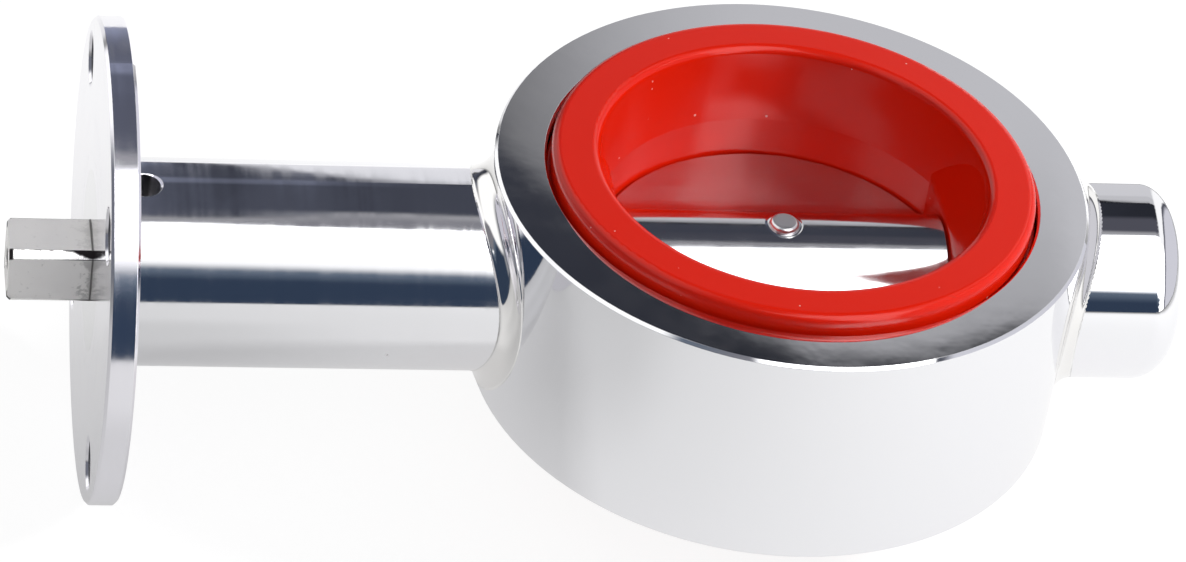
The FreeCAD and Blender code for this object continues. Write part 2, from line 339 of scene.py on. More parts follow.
NUMBER = "NodeSocketFloat"
VECTOR = "NodeSocketVector"

# Noise scales, in waves per metre
BROAD_WAVES = 55.0
NARROW_WAVES = 210.0
LESS_POLISHED = 120.0
FINE_MARKS = 2600.0
COARSE_MARKS = 420.0

# The share of the smaller waves in a height, and the span of noise over which marks come up
NARROW_SHARE = 0.18
COARSE_SHARE = 0.6
PATCH_SPAN = (0.35, 0.7)
STREAK_SPAN = (0.3, 0.7)

# How far the rings shift from place to place, as a share of the way out from the axis
RING_DRIFT = 0.01

# The cosine between a rounded normal and the true one, on the edge's round and past it
ON_EDGE = 0.86
PAST_EDGE = 0.995


def fill_buffing(sketch: NodeSketch, given: Sockets) -> Sockets:
    """The slow waves that a polishing wheel leaves, and patches where it polished less.

    Args:
        sketch: the group's nodes.
        given: the place.

    Returns:
        The height of the waves, and how much of a patch there is.
    """
    broad = sketch.noise(given["Place"], BROAD_WAVES, 1.0)
    narrow = sketch.noise(given["Place"], NARROW_WAVES, 2.0)
    patches = sketch.noise(given["Place"], LESS_POLISHED, 3.0, 0.6)
    return {
        "Height": sketch.math("MULTIPLY_ADD", narrow, NARROW_SHARE, broad),
        "Patches": sketch.step(patches, *PATCH_SPAN),
    }


def fill_lathe_marks(sketch: NodeSketch, given: Sockets) -> Sockets:
    """Fine rings round an axis, told apart by how far along it and how far from it they lie.

    Args:
        sketch: the group's nodes.
        given: the place and the axis.

    Returns:
        The height of the rings, and streaks of rougher ones.
    """
    along = sketch.vector("DOT_PRODUCT", given["Place"], given["Axis"]).outputs[1]
    foot = sketch.scaled(given["Axis"], along)
    out = sketch.vector("SUBTRACT", given["Place"], foot).outputs[0]
    drift = sketch.scaled(out, RING_DRIFT)
    ring = sketch.vector("ADD", sketch.joined(along, sketch.length(out), 0.0), drift).outputs[0]
    fine = sketch.noise(ring, FINE_MARKS, 2.0, 0.6)
    coarse = sketch.noise(ring, COARSE_MARKS, 2.0, 0.6)
    return {
        "Height": sketch.math("MULTIPLY_ADD", coarse, COARSE_SHARE, fine),
        "Streaks": sketch.step(coarse, *STREAK_SPAN),
    }


def fill_specks(sketch: NodeSketch, given: Sockets) -> Sockets:
    """Dust: a small round speck in a few of the cells that space is split into.

    Args:
        sketch: the group's nodes.
        given: the place, the cells per metre, the greatest size in cells and the share of cells.

    Returns:
        The mask of the specks.
    """
    inputs = {"Vector": given["Place"], "Scale": given["Cells Per Metre"]}
    cells = sketch.node("ShaderNodeTexVoronoi", inputs, feature="F1")
    chance, size, _ = sketch.parts(cells.outputs["Color"])
    near = sketch.math("LESS_THAN", cells.outputs["Distance"], sketch.product(size, given["Size"]))
    return {"Mask": sketch.product(near, sketch.math("LESS_THAN", chance, given["Share"]))}


def fill_soft_edge(sketch: NodeSketch, given: Sockets) -> Sockets:
    """Edges that are broken by a small round.

    Args:
        sketch: the group's nodes.
        given: the round's radius.

    Returns:
        The normal, and a mask of where the edges are.
    """
    bevel = sketch.node("ShaderNodeBevel", {"Radius": given["Radius"]}, samples=6)
    true_normal = sketch.node("ShaderNodeNewGeometry").outputs["Normal"]
    same = sketch.vector("DOT_PRODUCT", bevel.outputs[0], true_normal).outputs[1]
    return {"Normal": bevel.outputs[0], "Mask": sketch.fade(same, ON_EDGE, PAST_EDGE)}


BUFFING = SharedGroup(
    "buffing", (("Place", VECTOR),), (("Height", NUMBER), ("Patches", NUMBER)), fill_buffing
)
LATHE_MARKS = SharedGroup(
    "lathe_marks",
    (("Place", VECTOR), ("Axis", VECTOR)),
    (("Height", NUMBER), ("Streaks", NUMBER)),
    fill_lathe_marks,
)
SPECKS = SharedGroup(
    "specks",
    (("Place", VECTOR), ("Cells Per Metre", NUMBER), ("Size", NUMBER), ("Share", NUMBER)),
    (("Mask", NUMBER),),
    fill_specks,
)
SOFT_EDGE = SharedGroup(
    "soft_edge", (("Radius", NUMBER),), (("Normal", VECTOR), ("Mask", NUMBER)), fill_soft_edge
)


class Finish:
    """A material, whose shader's inputs each kind of finish works out in its own way."""

    name: str

    def build(self) -> bpy.types.Material:
        """Make the material.

        Returns:
            The material, with the finish's inputs on its Principled shader.
        """
        material = bpy.data.materials.new(self.name)
        material.use_nodes = True
        sketch = NodeSketch(material.node_tree)
        place = sketch.node("ShaderNodeTexCoord").outputs["Object"]
        sketch.feed(material.node_tree.nodes["Principled BSDF"], self.inputs(sketch, place))
        return material

    def inputs(self, sketch: NodeSketch, place: Socket) -> dict[str, object]:
        """The shader's inputs by name, from the place in the frame's metres."""
        raise NotImplementedError


@dataclass(frozen=True)
class Dust:
    """Pale specks: how finely space is split, the greatest speck in cells, and the share of cells."""

    cells_per_metre: float
    size: float
    share: float

    def mask(self, sketch: NodeSketch, place: Socket) -> Socket:
        """Where the specks are."""
        inputs = {"Cells_Per_Metre": self.cells_per_metre, "Size": self.size, "Share": self.share}
        return sketch.group(SPECKS.tree(), Place=place, **inputs).outputs["Mask"]


@dataclass(frozen=True)
class Bore:
    """A drilled hole, told by its axis: painted shade on its dull inside, painted light on a lit far side.
    """

    place: tuple[float, float, float]
    axis: tuple[float, float, float]
    radius: float
    lit: bool = False
    rim: float = 0.02 * MM
    far_side: Span = (0.9 * MM, 1.6 * MM)
    dark: float = 0.22
    bright: float = 0.92
    blue: float = 1.08
    roughness: float = 0.36

    def mask(self, sketch: NodeSketch, place: Socket) -> Socket:
        """Where the inside of the hole is.

        Args:
            sketch: the material's nodes.
            place: where the shader reads them.

        Returns:
            The mask.
        """
        off = sketch.vector("SUBTRACT", place, self.place).outputs[0]
        across = sketch.vector("CROSS_PRODUCT", off, self.axis).outputs[0]
        return sketch.fade(sketch.length(across), self.radius, self.radius + self.rim)

    def tone(self, sketch: NodeSketch, place: Socket) -> Socket:
        """The inside's painted shade and light, where the far side is the one towards the ring.

        Args:
            sketch: the material's nodes.
            place: where the shader reads them.

        Returns:
            The colour.
        """
        away = sketch.math("SUBTRACT", sketch.parts(place)[0], self.place[0])
        # painted shade inside the hole, and painted light on its far side where the hole is lit
        tone = sketch.step(away, *self.far_side, self.dark, self.bright if self.lit else self.dark)
        return sketch.joined(tone, tone, sketch.product(tone, self.blue))


BOLT_CIRCLE_RADIUS = 35.0 * MM
BOLT_HOLE_RADIUS = 4.53 * MM
BOLT_PLACE = BOLT_CIRCLE_RADIUS * math.sqrt(0.5)
BOLT_HOLES = tuple(
    Bore((0.0, BOLT_PLACE * across, BOLT_PLACE * up), (1.0, 0.0, 0.0), BOLT_HOLE_RADIUS)
    for across in (-1, 1)
    for up in (-1, 1)
)
LEAK_HOLE_PLACE = -112.3 * MM
LEAK_HOLE_RADIUS = 2.78 * MM
LEAK_HOLE_LEAN = math.radians(5.0)
LEAK_HOLE = Bore(
    (LEAK_HOLE_PLACE, 0.0, 0.0),
    (0.0, -math.sin(LEAK_HOLE_LEAN), math.cos(LEAK_HOLE_LEAN)),
    LEAK_HOLE_RADIUS,
    lit=True,
)


@dataclass(frozen=True)
class Steel(Finish):
    """Stainless steel in one of its finishes.

    Wave and mark depths are bump heights. The roughnesses of patches and marks are added to the
    plain one where those are.
    """

    name: str
    roughness: float
    tint: Colour = (0.86, 0.86, 0.88)
    wave: float = 0.0
    patch_roughness: float = 0.0
    marks: Marks | None = None
    mark_depth: float = 0.0
    mark_roughness: float = 0.0
    edge_round: float = 0.12 * MM
    # the share of painted highlight in the colour of the edges
    edge_highlight: float = 0.4
    face_roughness: float | None = None
    bores: tuple[Bore, ...] = ()
    dust: Dust | None = None
    dust_colour: Colour = (0.97, 0.97, 0.97)
    metallic: float = 1.0

    def inputs(self, sketch: NodeSketch, place: Socket) -> dict[str, object]:
        """Work out the shader's inputs.

        Args:
            sketch: the material's nodes.
            place: where the shader reads them.

        Returns:
            Values or sockets by the input's name.
        """
        buffed = sketch.group(BUFFING.tree(), Place=place)
        edge = sketch.group(SOFT_EDGE.tree(), Radius=self.edge_round)
        rough = sketch.math("MULTIPLY_ADD", buffed.outputs["Patches"], self.patch_roughness, self.roughness)
        normal = edge.outputs["Normal"]
        if self.wave:
            normal = sketch.bump(buffed.outputs["Height"], self.wave, normal)
        if self.marks:
            turned = sketch.group(LATHE_MARKS.tree(), Place=place, Axis=self.marks.value)
            rough = sketch.math("MULTIPLY_ADD", turned.outputs["Streaks"], self.mark_roughness, rough)
            normal = sketch.bump(turned.outputs["Height"], self.mark_depth, normal)
        if self.face_roughness is not None:
            rough = sketch.blend(self.face_mask(sketch, place), rough, self.face_roughness)
        # painted highlight: the base colour is made brighter on the edges that the small round finds
        edge_glint = sketch.product(edge.outputs["Mask"], self.edge_highlight)
        colour = sketch.mix(edge_glint, (*self.tint, 1.0), EDGE_HIGHLIGHT)
        colour, rough = self.stained_and_shaded(sketch, place, colour, rough)
        for bore in self.bores:
            inside = bore.mask(sketch, place)
            colour = sketch.mix(inside, colour, bore.tone(sketch, place))
            rough = sketch.blend(inside, rough, bore.roughness)
        metallic = self.metallic
        if self.dust is not None:
            speck = self.dust.mask(sketch, place)
            colour = sketch.mix(speck, colour, (*self.dust_colour, 1.0))
            metallic = sketch.math("SUBTRACT", 1.0, speck)
        return {"Base Color": colour, "Roughness": rough, "Normal": normal, "Metallic": metallic}

    def stained_and_shaded(
        self, sketch: NodeSketch, place: Socket, colour: Socket, rough: Socket
    ) -> tuple[Socket, Socket]:
        """The colour and roughness with any dirt and painted shade: none on polished steel."""
        return colour, rough

    def face_mask(self, sketch: NodeSketch, place: Socket) -> Socket:
        """Where a piece ends in the plane of the flange's outer face."""
        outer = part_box("actuator_flange")[0].x
        return sketch.fade(sketch.parts(place)[0], outer, outer + 0.05 * MM)


@dataclass(frozen=True)
class StemSteel(Steel):
    """Milled steel with dark marks near the flange, of dried oil and of painted shade.

    Cutting oil has dried in spots on the flats close to the flange. Painted shade darkens the angle
    between stem and flange and runs out along each turned corner as a wedge, and a thin dark line
    lies beside each turned corner. Places along the stem are counted from the flange, and places
    round it from the middle of a corner.
    """

    # the colour of the dried oil, and of the painted shade near the flange and at the stem's end
    stain_and_shade: Colour = (0.030, 0.026, 0.028)
    stain_and_shade_roughness: float = 0.6
    stain_and_shade_from: Span = (-1.0 * MM, -0.2 * MM)
    cloud_scale: float = 800.0
    corner_half: float = 0.83 * MM
    corner_soft: float = 0.06 * MM
    corner_roughness: float = 0.24
    wedge: Span = (-0.3 * MM, 4.9 * MM)
    wedge_drift: float = 0.9 * MM
    wedge_soft: Span = (0.2 * MM, 0.75 * MM)
    line_half: Span = (0.02 * MM, 0.12 * MM)
    line: float = 8.6 * MM
    root: Span = (0.05 * MM, 0.34 * MM)
    root_level: float = 0.8
    spots: float = 4.0 * MM
    spots_more: Span = (0.16, -0.10)
    spots_cloud: Span = (0.50, 0.70)
    spots_level: float = 0.30
    upper_flat: Span = (-1.0 * MM, -0.8 * MM)
    upper_flat_share: float = 0.35
    hole: Span = (2.0 * MM, 2.1 * MM)
    hole_depth: Span = (5.0 * MM, 6.0 * MM)
    chamfer: Span = (0.4 * MM, 0.8 * MM)
    chamfer_half: float = 1.1 * MM
    chamfer_out: Span = (5.4 * MM, 5.6 * MM)

    def stained_and_shaded(
        self, sketch: NodeSketch, place: Socket, colour: Socket, rough: Socket
    ) -> tuple[Socket, Socket]:
        """The colour and roughness with the dried oil and the painted shade.

        Args:
            sketch: the material's nodes.
            place: where the shader reads them.
            colour: the clean steel's colour.
            rough: the clean steel's roughness.

        Returns:
            The colour and the roughness.
        """
        x, y, z = sketch.parts(place)
        away = sketch.math("SUBTRACT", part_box("actuator_flange")[0].x, x)
        up = sketch.math("SUBTRACT", sketch.size(z), sketch.size(y))
        turn = sketch.product(up, math.sqrt(0.5))
        cloud = sketch.noise(place, self.cloud_scale, 3.0, 0.7)
        corner = sketch.fade(sketch.size(turn), self.corner_half, self.corner_half + self.corner_soft)
        rough = sketch.blend(corner, rough, self.corner_roughness)
        oil_and_shade = self.oil_and_shade(sketch, away, turn, corner, cloud)
        oil_and_shade = sketch.product(oil_and_shade, sketch.step(away, *self.stain_and_shade_from))
        out = sketch.length(sketch.joined(y, z, 0.0))
        dark = sketch.greatest(oil_and_shade, self.end(sketch, x, out, turn))
        colour = sketch.mix(dark, colour, (*self.stain_and_shade, 1.0))
        return colour, sketch.blend(dark, rough, self.stain_and_shade_roughness)

    def oil_and_shade(self, sketch: NodeSketch, away: Socket, turn: Socket, corner: Socket, cloud: Socket) -> Socket:
        """Where the oil has dried, and where shade is painted.

        Args:
            sketch: the material's nodes.
            away: how far along the stem a place lies from the flange.
            turn: how far round the stem it lies from the middle of a corner.
            corner: the mask of the turned corners.
            cloud: noise that makes the wedge and the spots uneven.

        Returns:
            The mask.
        """
        # painted shade: a wedge that runs out along each turned corner from the flange
        reach = sketch.step(away, *self.wedge, -self.corner_half, self.corner_half)
        over = sketch.math("MULTIPLY_ADD", cloud, self.wedge_drift, sketch.math("SUBTRACT", turn, reach))
        wedge = sketch.product(corner, sketch.step(over, *self.wedge_soft))
        # a thin dark line beside each turned corner
        off = sketch.size(sketch.math("ADD", turn, self.corner_half))
        line = sketch.product(sketch.fade(off, *self.line_half), sketch.fade(away, 0.0, self.line))
        # painted shade in the angle between stem and flange
        root = sketch.step(away, *self.root, self.root_level, 0.0)
        # dried oil in spots on the flats near the flange
        near = sketch.step(away, 0.0, self.spots, *self.spots_more)
        spots = sketch.step(sketch.math("ADD", cloud, near), *self.spots_cloud, 0.0, self.spots_level)
        spots = sketch.product(spots, sketch.step(turn, *self.upper_flat, 1.0, self.upper_flat_share))
        return sketch.greatest(wedge, line, root, spots)

    def end(self, sketch: NodeSketch, x: Socket, out: Socket, turn: Socket) -> Socket:
        """Where the stem's end is darker: painted shade in its centre hole, and its corners' chamfers.

        Args:
            sketch: the material's nodes.
            x: a place's x.
            out: how far it lies from the stem's axis.
            turn: how far round the stem it lies from the middle of a corner.

        Returns:
            The mask.
        """
        from_end = sketch.math("SUBTRACT", x, cad_box[0].x)
        # painted shade in the centre hole
        hole = sketch.product(sketch.fade(out, *self.hole), sketch.fade(from_end, *self.hole_depth))
        edge = sketch.product(
            sketch.fade(sketch.size(turn), self.corner_half, self.chamfer_half),
            sketch.step(out, *self.chamfer_out),
            sketch.fade(from_end, *self.chamfer),
        )
        return sketch.greatest(hole, edge)


@dataclass(frozen=True)
class GroundDisc(Finish):
    """A disc whose faces are ground along the stem, with a hub that is buffed smoother.

    Grinding leaves straight lines, so the faces blur what they mirror across the lines only. The pin
    was dressed flush with a hand tool, which left a low burnished ring round its head.
    """

    name: str = "ground_disc_steel"
    tint: Colour = (0.68, 0.68, 0.70)
    face_roughness: float = 0.20
    line_roughness: float = 0.14
    line_stretch: tuple[float, float, float] = (0.02, 1.0, 1.0)
    line_depth: float = 0.0006 * MM
    hub_height: Span = (2.2 * MM, 3.2 * MM)
    hub_roughness: float = 0.10
    hub_patch_roughness: float = 0.06
    grain: float = 0.85
    hub_grain: float = 0.2
    edge_round: float = 0.12 * MM
    ring_rise: Span = (2.60 * MM, 2.95 * MM)
    ring_fall: Span = (2.95 * MM, 3.45 * MM)
    ring_height: float = 0.07 * MM
    dust: Dust = Dust(380.0, 0.16, 0.03)
    dust_colour: Colour = (0.95, 0.93, 0.92)

    def inputs(self, sketch: NodeSketch, place: Socket) -> dict[str, object]:
        """Work out the shader's inputs.

        Args:
            sketch: the material's nodes.
            place: where the shader reads them.

        Returns:
            Values or sockets by the input's name.
        """
        x, y, z = sketch.parts(place)
        hub = sketch.step(sketch.size(z), *self.hub_height)
        stretched = sketch.vector("MULTIPLY", place, self.line_stretch).outputs[0]
        lines = sketch.noise(stretched, FINE_MARKS, 2.0, 0.6)
        buffed = sketch.group(BUFFING.tree(), Place=place)
        smoothest = self.face_roughness - 0.5 * self.line_roughness
        face_rough = sketch.math("MULTIPLY_ADD", lines, self.line_roughness, smoothest)
        patches = buffed.outputs["Patches"]
        hub_rough = sketch.math("MULTIPLY_ADD", patches, self.hub_patch_roughness, self.hub_roughness)
        edge = sketch.group(SOFT_EDGE.tree(), Radius=self.edge_round)
        normal = sketch.bump(lines, self.line_depth, edge.outputs["Normal"])
        normal = sketch.bump(self.burnished_ring(sketch, x, y), self.ring_height, normal)
        speck = self.dust.mask(sketch, place)
        return {
            "Base Color": sketch.mix(speck, (*self.tint, 1.0), (*self.dust_colour, 1.0)),
            "Metallic": sketch.math("SUBTRACT", 1.0, speck),
            "Roughness": sketch.blend(hub, face_rough, hub_rough),
            "Anisotropic": sketch.blend(hub, self.grain, self.hub_grain),
            "Tangent": sketch.joined(0.0, 1.0, 0.0),
            "Normal": normal,
        }

    def burnished_ring(self, sketch: NodeSketch, x: Socket, y: Socket) -> Socket:
        """The height of the ring round the pin's head, which rises to its middle and falls again."""
        out = sketch.length(sketch.joined(x, y, 0.0))
        return sketch.product(sketch.step(out, *self.ring_rise), sketch.fade(out, *self.ring_fall))


@dataclass(frozen=True)
class Silicone(Finish):
    """Moulded red silicone, a little translucent, with some dust on it."""

    name: str = "red_silicone"
    colour: Colour = (0.66, 0.0115, 0.0015)
    roughness: float = 0.20
    cloud_scale: float = 90.0
    cloud_roughness: float = 0.12
    skin_scale: float = 900.0
    skin_depth: float = 0.006 * MM
    glow_depth: Colour = (1.2 * MM, 0.18 * MM, 0.096 * MM)
    dust: Dust = Dust(520.0, 0.13, 0.09)
    dust_cover: float = 0.5
    dust_colour: Colour = (0.9, 0.75, 0.7)

    def inputs(self, sketch: NodeSketch, place: Socket) -> dict[str, object]:
        """Work out the shader's inputs.

        Args:
            sketch: the material's nodes.
            place: where the shader reads them.

        Returns:
            Values or sockets by the input's name.
        """
        cover = sketch.product(self.dust.mask(sketch, place), self.dust_cover)
        cloud = sketch.noise(place, self.cloud_scale, 3.0)
        smoothest = self.roughness - 0.5 * self.cloud_roughness
        return {
            "Base Color": sketch.mix(cover, (*self.colour, 1.0), (*self.dust_colour, 1.0)),
            "Roughness": sketch.math("MULTIPLY_ADD", cloud, self.cloud_roughness, smoothest),
            "Normal": sketch.bump(sketch.noise(place, self.skin_scale, 2.0), self.skin_depth),
            "IOR": 1.42,
            "Specular IOR Level": 0.40,
            "Subsurface Weight": 0.12,
            "Subsurface Radius": self.glow_depth,
            "Subsurface Scale": 1.0,
        }


@dataclass(frozen=True)
class Moulded(Finish):
    """A plain plastic or rubber with a slightly uneven sheen."""

    name: str
    colour: Colour
    roughness: float
    cloud_scale: float = 300.0
    cloud_roughness: float = 0.1
    darkest: float = 0.94
    pale_clouds: Span = (0.2, 0.8)

    def inputs(self, sketch: NodeSketch, place: Socket) -> dict[str, object]:
        """Work out the shader's inputs.

        Args:
            sketch: the material's nodes.
            place: where the shader reads them.

        Returns:
            Values or sockets by the input's name.
        """
        cloud = sketch.noise(place, self.cloud_scale, 3.0)
        level = sketch.step(cloud, *self.pale_clouds, self.darkest, 1.0)
        return {
            "Base Color": sketch.scaled(self.colour, level),
            "Roughness": sketch.math("MULTIPLY_ADD", cloud, self.cloud_roughness, self.roughness),
        }


MIRROR = Steel("mirror_polished_steel", 0.03, wave=0.010 * MM, patch_roughness=0.015)
TUBE = Steel(
    "polished_tube_steel", 0.045, wave=0.012 * MM, patch_roughness=0.03,
    marks=Marks.AROUND_STEM, mark_depth=0.00012 * MM, mark_roughness=0.05, face_roughness=0.10,
    bores=(LEAK_HOLE,), dust=Dust(300.0, 0.085, 0.05),
)
WELD = Steel("polished_weld_steel", 0.05, tint=(0.85, 0.84, 0.83), wave=0.012 * MM, patch_roughness=0.06)
FACE = Steel(
    "turned_flange_steel", 0.06, tint=(0.925, 0.915, 0.96), wave=0.006 * MM, patch_roughness=0.06,
    marks=Marks.AROUND_STEM, mark_depth=0.0004 * MM, mark_roughness=0.04, bores=BOLT_HOLES,
)
MILLED = StemSteel(
    "milled_stem_steel", 0.60, tint=(0.97, 0.955, 0.94), patch_roughness=0.12,
    marks=Marks.AROUND_PIPE, mark_depth=0.0006 * MM, mark_roughness=0.1, metallic=0.9,
)
DISC = GroundDisc()
PIN = Steel("pin_steel", 0.28, tint=(0.70, 0.69, 0.70), patch_roughness=0.1)
SILICONE = Silicone()
FLUOROPOLYMER = Moulded("ivory_fluoropolymer", (0.88, 0.86, 0.80), 0.42)
ELASTOMER = Moulded("black_elastomer", (0.018, 0.018, 0.019), 0.5)


@dataclass(frozen=True)
class PhotoCamera:
    """The camera at the photograph's viewing angle."""

    place: tuple[float, float, float] = (-0.1974, -0.7075, 0.5600)
    aim: tuple[float, float, float] = (-0.0330, -0.0033, 0.0)
    roll_degrees: float = 9.14
    lens_mm: float = 159.5

    def build(self) -> None:
        """Make the camera and give it to the scene."""
        data = bpy.data.cameras.new("photo_camera")
        data.lens = self.lens_mm
        data.clip_start = 0.01
        data.clip_end = 100.0
        camera = linked("photo_camera", data)
        look = Vector(self.aim) - Vector(self.place)
        roll = Quaternion((0.0, 0.0, 1.0), math.radians(self.roll_degrees))
        camera.location = self.place
        camera.rotation_mode = "QUATERNION"
        camera.rotation_quaternion = look.to_track_quat("-Z", "Y") @ roll
        bpy.context.scene.camera = camera


@dataclass(frozen=True)
class Surround:
    """What polished steel sees round it, told by a direction's pitch about X and by its x part.

    Pitch is 0 at the horizon behind the valve, 90 straight up and 180 at the camera's horizon. From
    the back up there are a pale wall, a dark ceiling, a dim strip, a lit screen and a dark band. The
    edges between them shift with x, because the room was near the valve, and each is a curve of x.
    At both ends of x stands a white card. The ceiling's and the wall's levels are display values,
    and each of the strip's two greys is such a value and its blue part.
    """

    dark_tint: Colour = (0.92, 1.0, 1.35)
    dark_levels: Stops = (
        (-0.40, 0.15), (-0.20, 0.20), (0.0, 0.33), (0.085, 0.40), (0.0925, 0.44), (0.0945, 0.37),
        (0.097, 0.30), (0.102, 0.28), (0.109, 0.255), (0.117, 0.26), (0.1245, 0.41), (0.130, 0.25),
        (0.134, 0.235), (0.143, 0.28), (0.155, 0.28), (0.200, 0.30), (0.25, 0.26), (0.279, 0.17),
    )
    dark_from: Stops = (
        (-0.50, -10.0), (-0.30, -2.0), (-0.15, 10.0), (0.0, 18.0), (0.05, 8.0), (0.091, -5.0),
        (0.096, -4.5), (0.102, -5.0), (0.109, -0.8), (0.117, 7.5), (0.124, 17.5), (0.134, 27.9),
        (0.143, 33.7), (0.151, 34.9), (0.155, 36.0), (0.162, 37.0), (0.208, 38.9), (0.215, 39.08),
        (0.220, 39.3), (0.226, 39.33), (0.239, 39.26), (0.247, 39.15), (0.253, 39.03),
        (0.2587, 38.88), (0.265, 38.9), (0.279, 43.0),
    )
    dark_from_soft: Stops = ((0.130, 5.0), (0.150, 4.0), (0.160, 0.12), (0.27, 0.12))
    ceiling_edge: Stops = (
        (0.118, 2.1), (0.135, 1.45), (0.150, 1.1), (0.160, 0.62), (0.20, 0.35), (0.27, 0.30),
    )
    ceiling_edge_pitch: float = 39.0
    ceiling_edge_reach: Span = (2.0, 7.0)
    rim_glow: float = 1.1
    rim_glow_x: Span = (0.093, 0.096)
    rim_glow_pitch: Span = (0.0, 26.0)
    lid: Colour = (0.085, 0.086, 0.108)
    lid_pitch: Span = (63.0, 70.0)
    lid_x: Span = (0.16, 0.24)
    wall_blue: float = 1.04
    wall_levels: Stops = (
        (0.125, 0.33), (0.140, 0.42), (0.150, 0.47), (0.162, 0.54), (0.173, 0.62), (0.183, 0.68),
        (0.194, 0.73), (0.207, 0.77), (0.270, 0.79),
    )
    wall_shade: float = 0.74
    wall_shade_reach: float = 2.6
    low_wall_levels: Stops = ((0.09, 0.93), (0.155, 0.93), (0.20, 0.84))
    low_wall_top: Stops = (
        (0.091, 10.0), (0.117, 20.0), (0.134, 36.0), (0.150, 40.0), (0.158, 36.0), (0.166, 32.0),
        (0.27, 30.0),
    )
    low_wall_soft: Span = (-2.0, 2.0)
    strip_from: Stops = (
        (0.091, 90.0), (0.102, 93.5), (0.109, 92.0), (0.117, 90.0), (0.125, 87.0), (0.134, 81.0),
        (0.143, 81.5), (0.155, 84.4), (0.200, 84.0), (0.279, 86.0),
    )
    strip_soft: Span = (-2.5, 2.5)
    strip_fall: Span = (0.0, 11.0)
    strip_first: Span = (0.66, 1.05)
    strip_last: Span = (0.51, 1.12)
    screen_from: Stops = (
        (-0.50, 134.0), (0.0, 124.0), (0.06, 106.0), (0.091, 99.4), (0.102, 96.8), (0.109, 99.7),
        (0.134, 100.9), (0.155, 103.1), (0.200, 96.0), (0.279, 90.5),
    )
    screen_soft: Span = (-1.5, 2.5)
    screen_levels: Span = (4.0, 1.15)
    screen_fall: Span = (124.0, 141.0)
    screen_right: float = 4.2
    screen_right_x: Span = (0.17, 0.24)
    band_from: Stops = (
        (-0.50, 118.0), (-0.30, 128.0), (-0.10, 138.0), (0.091, 146.5), (0.125, 148.0),
        (0.155, 150.0), (0.280, 155.5), (0.42, 164.0),
    )
    band: Colour = (0.032, 0.050, 0.088)
    band_soft: Span = (3.5, 15.0)
    band_edge: Colour = (0.115, 0.150, 0.205)
    band_edge_soft: Span = (-6.0, 4.0)
    right_card_levels: Span = (1.1, 3.8)
    right_card_rise: Span = (95.0, 115.0)
    right_card_x: Span = (0.40, 0.47)
    right_line: Colour = (0.10, 0.105, 0.13)
    right_line_x: Span = (0.62, 0.65)
    right_end: Colour = (0.70, 0.70, 0.76)
    right_end_x: Span = (0.66, 0.72)
    left_card: float = 1.2
    left_card_edge: Stops = (
        (-30.0, -0.60), (6.0, -0.44), (18.0, -0.27), (30.0, -0.15), (90.0, -0.15), (102.0, -0.40),
        (114.0, -0.50), (126.0, -0.62), (150.0, -0.88),
    )
    left_card_soft: Span = (-0.07, 0.07)
    left_end: Colour = (0.16, 0.17, 0.20)
    left_end_x: Span = (-0.93, -0.80)

    def colour(self, sketch: NodeSketch, direction: Socket) -> Socket:
        """The surround's colour.

        Args:
            sketch: the world's nodes.
            direction: where the steel looks.

        Returns:
            The colour there.
        """
        x, y, z = sketch.parts(direction)
        pitch = sketch.product(sketch.math("ARCTAN2", z, y), HALF_TURN / math.pi)
        pitch = sketch.math("WRAP", pitch, 1.5 * HALF_TURN, -0.5 * HALF_TURN)
        shown = self.front(sketch, x, pitch, self.back(sketch, x, pitch))
        return self.cards(sketch, x, pitch, shown)

    def back(self, sketch: NodeSketch, x: Socket, pitch: Socket) -> Socket:
        """The pale wall behind, the ceiling, and a still darker lid over its right part.

        Args:
            sketch: the world's nodes.
            x: the direction's x part.
            pitch: the direction's pitch.

        Returns:
            The colour.
        """
        below = sketch.math("SUBTRACT", sketch.curve(x, self.dark_from), pitch)
        soft = sketch.curve(x, self.dark_from_soft)
        share = sketch.step(below, sketch.product(soft, -1.0), soft)
        shown = sketch.mix(share, self.ceiling(sketch, x, pitch), self.wall(sketch, x, pitch, below))
        lid = sketch.product(sketch.step(pitch, *self.lid_pitch), sketch.step(x, *self.lid_x))
        return sketch.mix(lid, shown, (*self.lid, 1.0))

    def ceiling(self, sketch: NodeSketch, x: Socket, pitch: Socket) -> Socket:
        """The ceiling's colour, which changes at its edge and is lit where the ring's rim sees it.

        Args:
            sketch: the world's nodes.
            x: the direction's x part.
            pitch: the direction's pitch.

        Returns:
            The colour.
        """
        dark = sketch.vector("MULTIPLY", sketch.ramp(x, self.dark_levels), self.dark_tint).outputs[0]
        off = sketch.size(sketch.math("SUBTRACT", pitch, self.ceiling_edge_pitch))
        glow = sketch.step(off, *self.ceiling_edge_reach, sketch.curve(x, self.ceiling_edge), 1.0)
        rim = sketch.step(x, *self.rim_glow_x, self.rim_glow, 0.0)
        rim = sketch.product(rim, sketch.fade(pitch, *self.rim_glow_pitch))
        return sketch.scaled(dark, sketch.math("ADD", glow, rim))

    def wall(self, sketch: NodeSketch, x: Socket, pitch: Socket, below: Socket) -> Socket:
        """The wall's colour, which is dimmer just under the ceiling and pale low down.

        Args:
            sketch: the world's nodes.
            x: the direction's x part.
            pitch: the direction's pitch.
            below: how many degrees the direction lies under the ceiling's edge.

        Returns:
            The colour.
        """
        shade = sketch.step(below, 0.0, self.wall_shade_reach, self.wall_shade, 1.0)
        upper = sketch.scaled(sketch.ramp(x, self.wall_levels, self.wall_blue), shade)
        low = sketch.math("SUBTRACT", pitch, sketch.curve(x, self.low_wall_top))
        pale = sketch.ramp(x, self.low_wall_levels, self.wall_blue)
        return sketch.mix(sketch.fade(low, *self.low_wall_soft), upper, pale)

